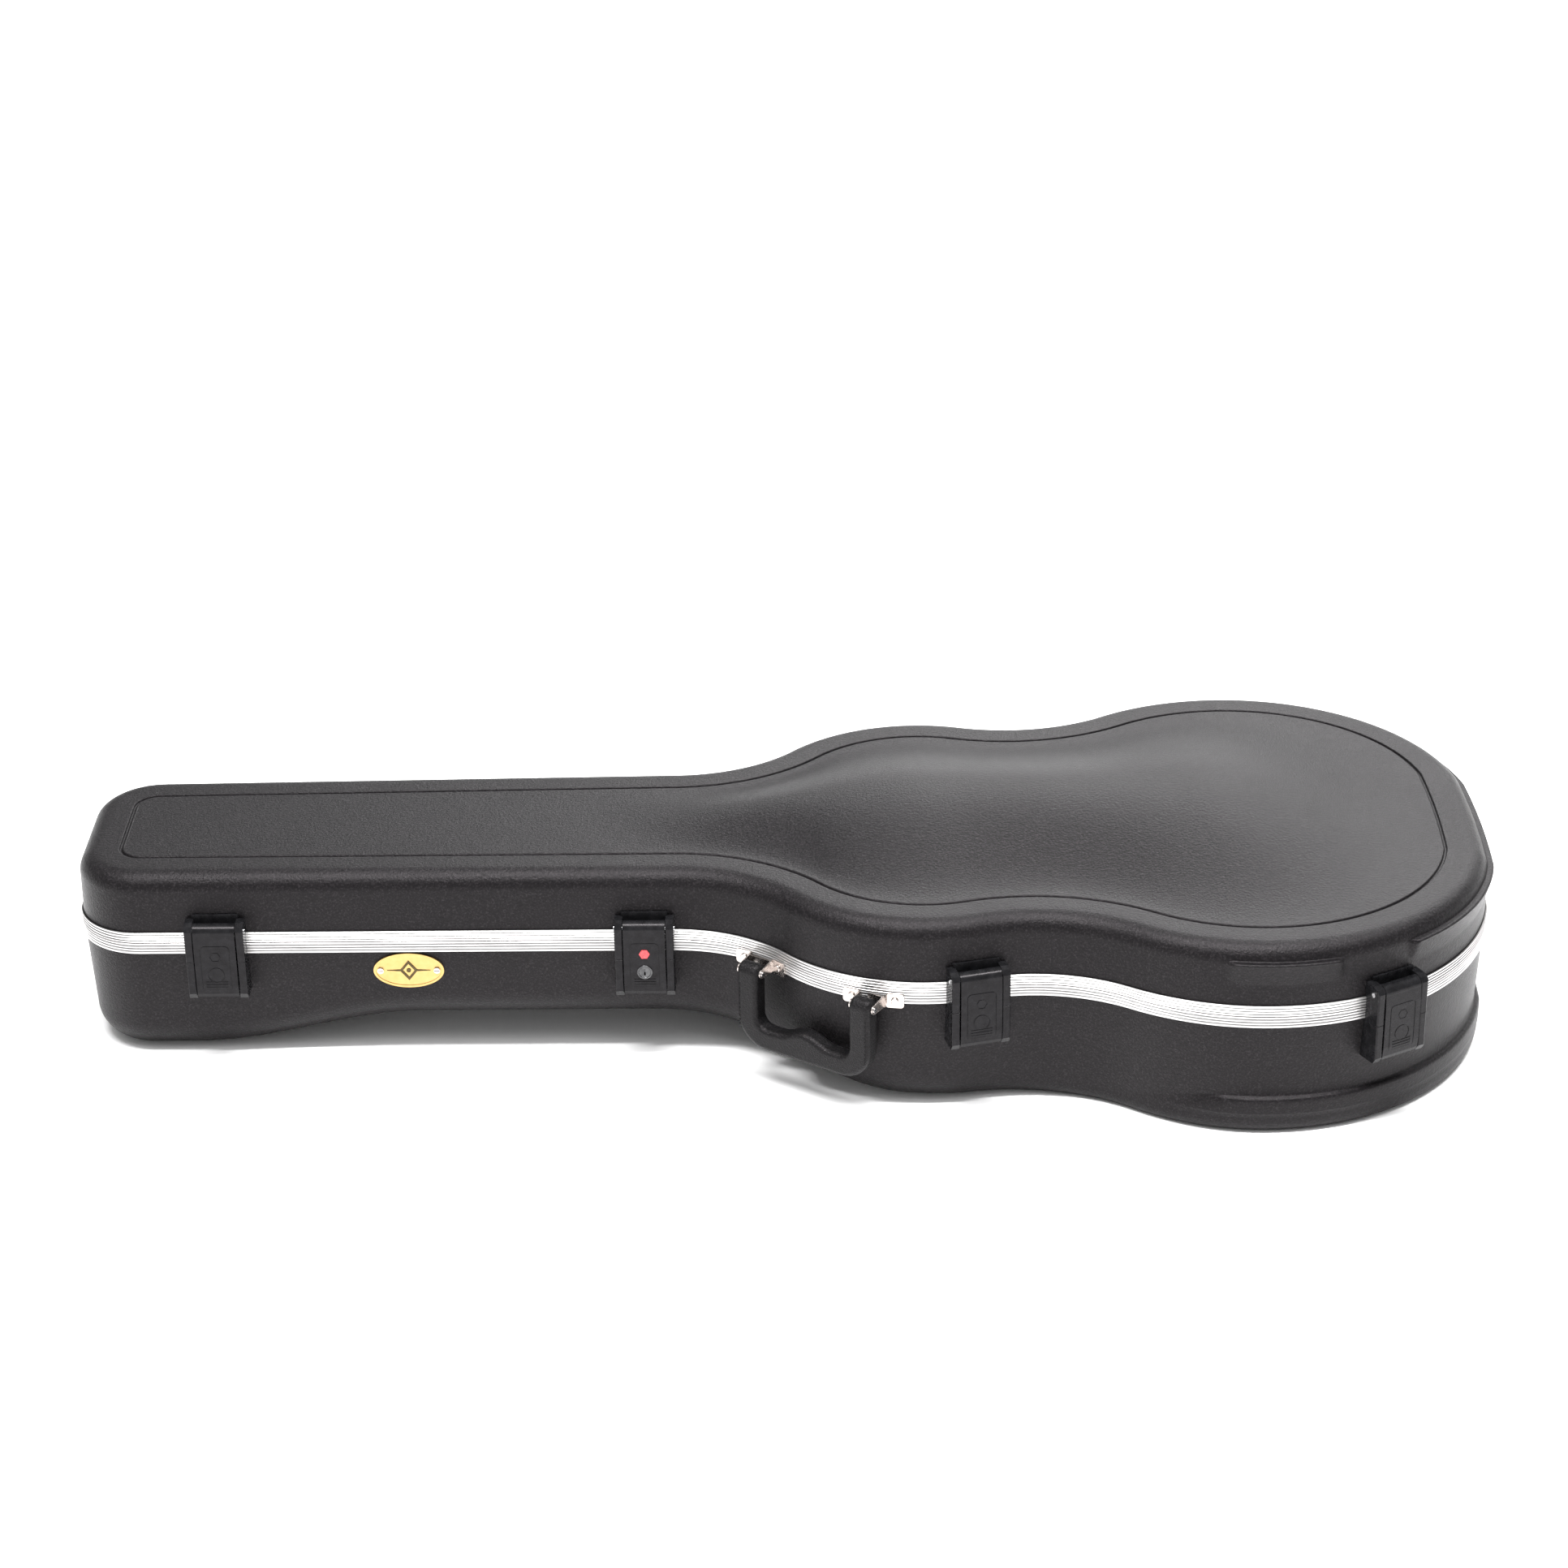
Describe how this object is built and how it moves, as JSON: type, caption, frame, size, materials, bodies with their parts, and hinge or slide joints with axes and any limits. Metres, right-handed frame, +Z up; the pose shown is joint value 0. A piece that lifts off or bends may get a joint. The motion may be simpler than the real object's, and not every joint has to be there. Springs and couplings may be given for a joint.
{
  "type": "guitar case",
  "caption": "Hard moulded case for a full-size electric or archtop guitar: domed lid, aluminium band, draw latches, swinging handle, plush cavity with accessory compartment.",
  "frame": {"origin": "centre of the case's footprint on the floor it lies on", "axes": "+X from the headstock end to the tail, -Y the latch and handle side, +Z up out of the lid"},
  "size_m": [1.1053, 0.4591, 0.1865],
  "materials": {
    "shell": "black moulded ABS with a fine pebbled grain, satin",
    "band": "satin anodised extrusion with fine ribs",
    "lining": "dark short-pile plush over foam",
    "tab": "black woven ribbon",
    "latch": "black moulded nylon, fine satin",
    "hinge": "black powder-coated steel",
    "grip": "black moulded grip with a leather grain",
    "plate": "pale gold plate, brushed field and polished border",
    "ornament": "darkened raised ornament",
    "nickel": "nickel-plated stamped steel",
    "pins": "plated steel",
    "lock": "nickel-plated lock",
    "inlay": "plain red enamel inlay"
  },
  "bodies": {
    "base": {"base_shell": "shell", "base_rim": "band", "base_lining": "lining", "neck_rest": "lining", "hinge_base_leaf_1": "hinge", "hinge_base_leaf_2": "hinge", "hinge_base_leaf_3": "hinge", "hinge_base_rivets": "pins", "latch_base_1": "latch", "latch_base_2": "latch", "latch_base_3": "latch", "latch_base_4": "latch", "latch_strikers": "pins", "handle_bracket_left": "nickel", "handle_bracket_right": "nickel", "handle_pin_left": "nickel", "handle_pin_right": "nickel", "handle_rivets": "nickel", "nameplate": "plate", "nameplate_ornament": "ornament", "nameplate_screws": "plate"},
    "lid": {"lid_shell": "shell", "lid_rim": "band", "lid_lining": "lining", "hinge_lid_leaf_1": "hinge", "hinge_lid_leaf_2": "hinge", "hinge_lid_leaf_3": "hinge", "hinge_lid_rivets": "pins", "hinge_pin_1": "pins", "hinge_pin_2": "pins", "hinge_pin_3": "pins", "latch_head_1": "latch", "latch_head_2": "latch", "latch_head_3": "latch", "latch_head_4": "latch", "latch_pin_1": "pins", "latch_pin_2": "pins", "latch_pin_3": "pins", "latch_pin_4": "pins"},
    "lever_1": {"latch_lever_1": "latch", "latch_hook_1": "pins"},
    "lever_2": {"latch_lever_2": "latch", "latch_hook_2": "pins", "lock_bezel": "lock", "lock_inlay": "inlay"},
    "lever_3": {"latch_lever_3": "latch", "latch_hook_3": "pins"},
    "lever_4": {"latch_lever_4": "latch", "latch_hook_4": "pins"},
    "lock": {"lock_cylinder": "lock", "lock_cam": "pins"},
    "handle": {"handle_grip": "grip"},
    "compartment": {"compartment_lid": "lining", "compartment_tab": "tab"}
  },
  "joints": [
    {"name": "lid_hinge", "type": "hinge", "parent": "base", "child": "lid", "pos_m": [0, 0.17298, 0.102], "axis": [-0.9877, -0.1561, 0], "range_deg": [0, 105]},
    {"name": "latch_1_swing", "type": "hinge", "parent": "lid", "child": "lever_1", "pos_m": [-0.43849, -0.09637, 0.1168], "axis": [-0.9999, 0.0105, 0], "range_deg": [0, 80]},
    {"name": "latch_2_swing", "type": "hinge", "parent": "lid", "child": "lever_2", "pos_m": [-0.10619, -0.09987, 0.1168], "axis": [-0.9999, 0.0105, 0], "range_deg": [0, 80]},
    {"name": "latch_3_swing", "type": "hinge", "parent": "lid", "child": "lever_3", "pos_m": [0.14869, -0.18337, 0.1168], "axis": [-0.9656, -0.26, 0], "range_deg": [0, 80]},
    {"name": "latch_4_swing", "type": "hinge", "parent": "lid", "child": "lever_4", "pos_m": [0.45978, -0.20592, 0.1168], "axis": [-0.8735, -0.4868, 0], "range_deg": [0, 80]},
    {"name": "lock_turn", "type": "hinge", "parent": "lever_2", "child": "lock", "pos_m": [-0.10624, -0.10407, 0.0817], "axis": [-0.0105, -0.9999, 0], "range_deg": [0, 90]},
    {"name": "handle_swing", "type": "hinge", "parent": "base", "child": "handle", "pos_m": [0.01876, -0.15782, 0.0945], "axis": [-0.8294, 0.5586, 0], "range_deg": [0, 150]},
    {"name": "compartment_hinge", "type": "hinge", "parent": "base", "child": "compartment", "pos_m": [-0.23, 0.036, 0.0643], "axis": [-1, 0, 0], "range_deg": [0, 90]}
  ]
}
